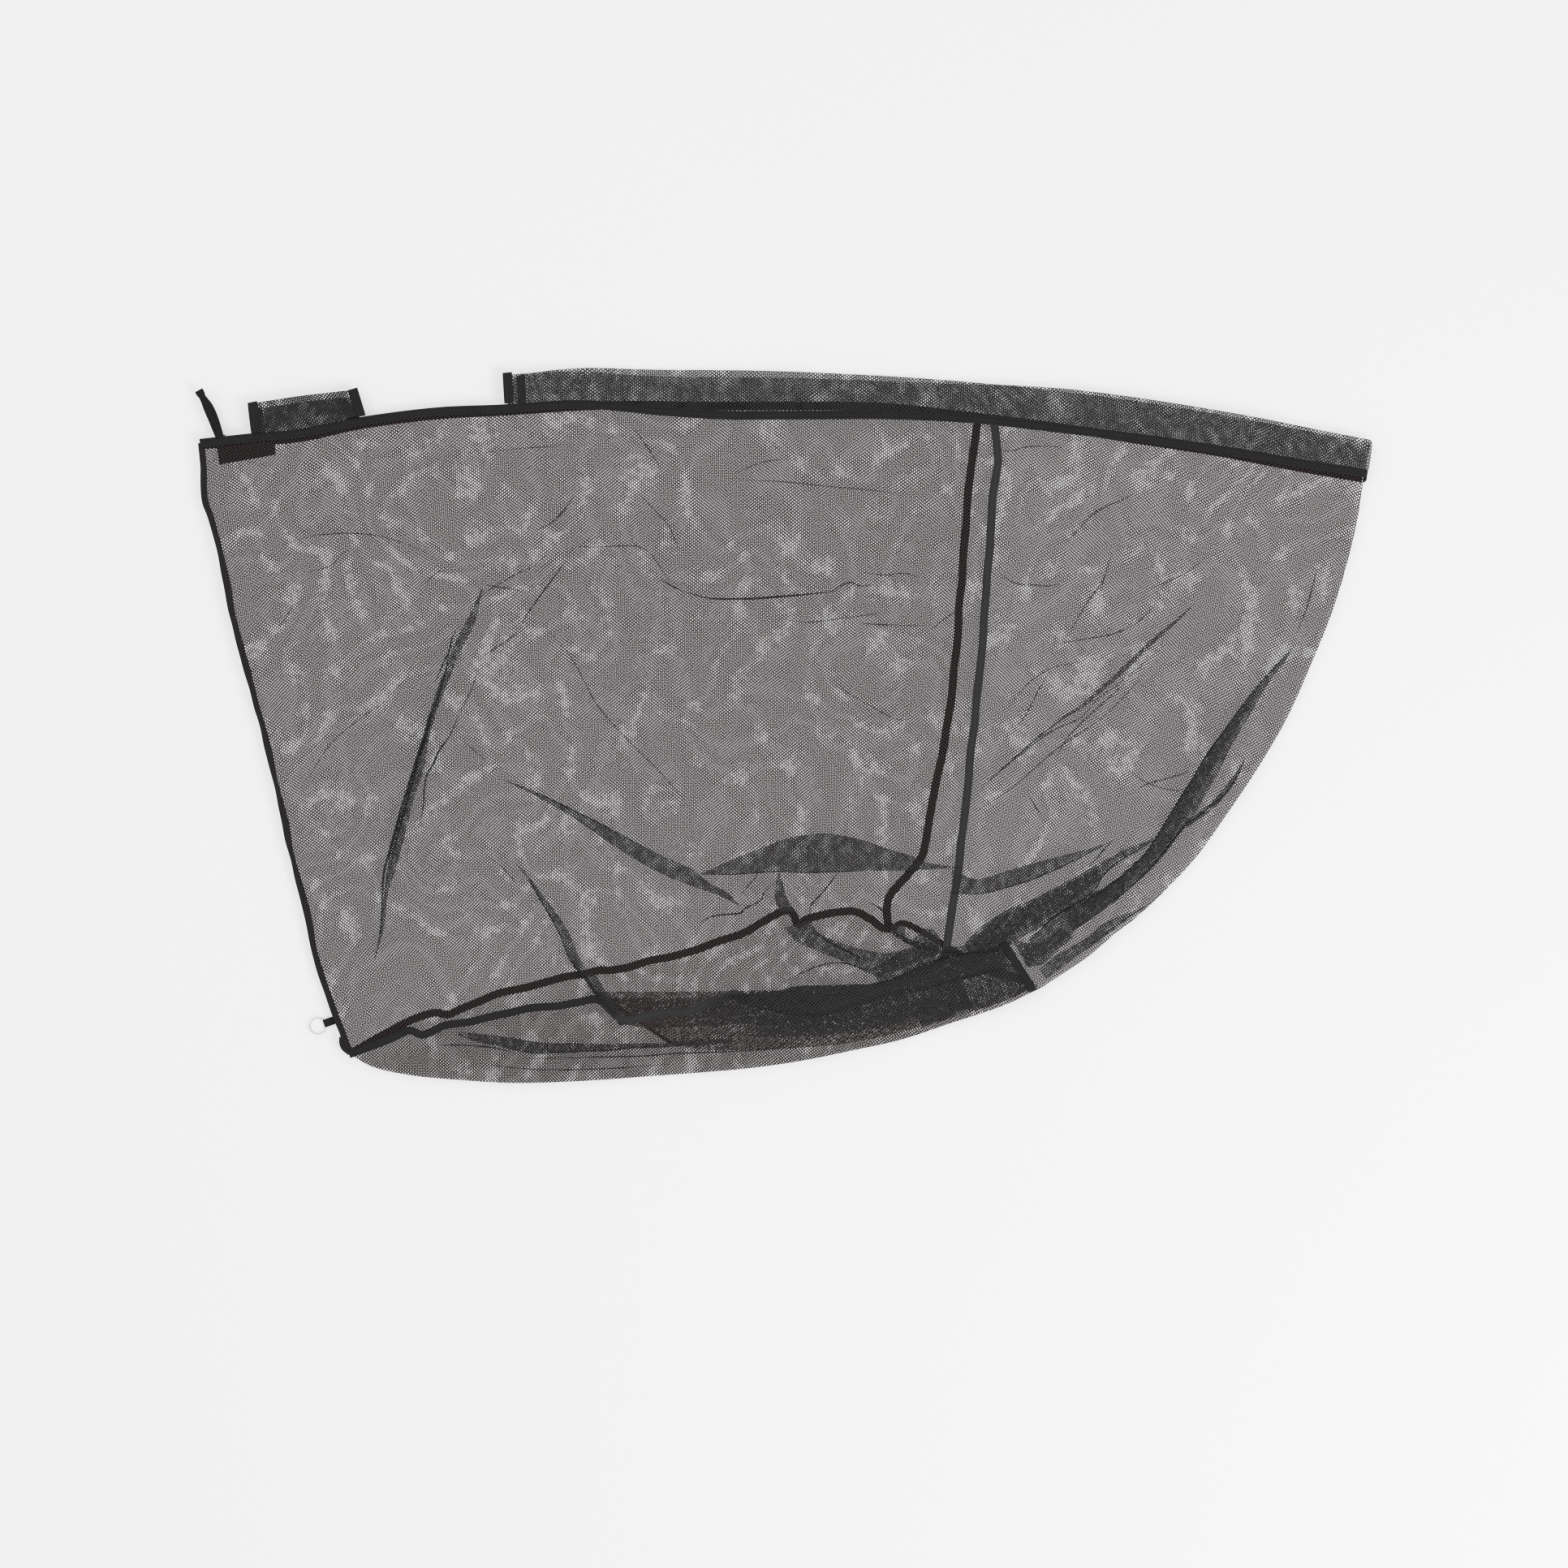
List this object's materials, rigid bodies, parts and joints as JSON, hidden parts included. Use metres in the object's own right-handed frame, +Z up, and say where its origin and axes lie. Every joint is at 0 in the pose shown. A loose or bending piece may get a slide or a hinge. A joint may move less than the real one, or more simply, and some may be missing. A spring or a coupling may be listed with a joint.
{
  "type": "mesh catch net",
  "caption": "Soft mesh catch net folded in half: open mouth, side, rear and floor panels, pole sleeves round the rim, taped seams, a pull loop and a clear ring.",
  "frame": {"origin": "centre of the folded net's footprint, on the ground it lies on", "axes": "+X along the pole line, from the open mouth towards the fold; +Y across it, from the floor panel towards the rim; +Z up, out of the flat net"},
  "size_m": [1.301, 0.7923, 0.0204],
  "materials": {
    "mesh": "open hexagonal mesh, matte",
    "tape": "ribbed woven binding tape, double stitched",
    "patch": "hook-and-loop pile",
    "ring": "clear, glossy"
  },
  "bodies": {
    "net": {"lower_side_panel": "mesh", "upper_side_panel": "mesh", "lower_rear_panel": "mesh", "upper_rear_panel": "mesh", "rear_panel_fold": "mesh", "lower_floor_panel": "mesh", "upper_floor_panel": "mesh", "floor_panel_fold": "mesh", "lower_long_sleeve_under": "mesh", "lower_long_sleeve_top": "mesh", "lower_long_sleeve_edges": "mesh", "upper_long_sleeve_under": "mesh", "upper_long_sleeve_top": "mesh", "upper_long_sleeve_edges": "mesh", "long_sleeve_turn": "mesh", "lower_short_sleeve": "mesh", "upper_short_sleeve": "mesh", "lower_bottom_sleeve_under": "mesh", "lower_bottom_sleeve_top": "mesh", "lower_bottom_sleeve_edges": "mesh", "upper_bottom_sleeve_under": "mesh", "upper_bottom_sleeve_top": "mesh", "upper_bottom_sleeve_edges": "mesh", "lower_rim_binding": "tape", "upper_rim_binding": "tape", "rim_binding_turn": "tape", "lower_mouth_binding": "tape", "upper_mouth_binding": "tape", "lower_side_seam_tape": "tape", "upper_side_seam_tape": "tape", "lower_bottom_seam_tape": "tape", "upper_bottom_seam_tape": "tape", "lower_rear_seam_tape": "tape", "upper_rear_seam_tape": "tape", "long_sleeve_end_bindings": "tape", "lower_short_sleeve_bindings": "tape", "upper_short_sleeve_bindings": "tape", "lower_bottom_sleeve_bindings": "tape", "upper_bottom_sleeve_bindings": "tape", "hook_patch": "patch", "loop_patch": "patch", "pull_loop_tack": "tape", "ring_tab": "tape"},
    "pull_loop": {"pull_loop": "tape"},
    "clear_ring": {"clear_ring": "ring"}
  },
  "joints": [
    {"name": "pull_loop_swing", "type": "hinge", "parent": "net", "child": "pull_loop", "pos_m": [-0.6255, 0.3248, 0.0107], "axis": [0.9968, 0.0802, 0], "range_deg": [0, 120]},
    {"name": "ring_swing", "type": "hinge", "parent": "net", "child": "clear_ring", "pos_m": [-0.51019, -0.32809, 0.00234], "axis": [-0.3322, 0.9432, 0], "range_deg": [0, 110]}
  ]
}
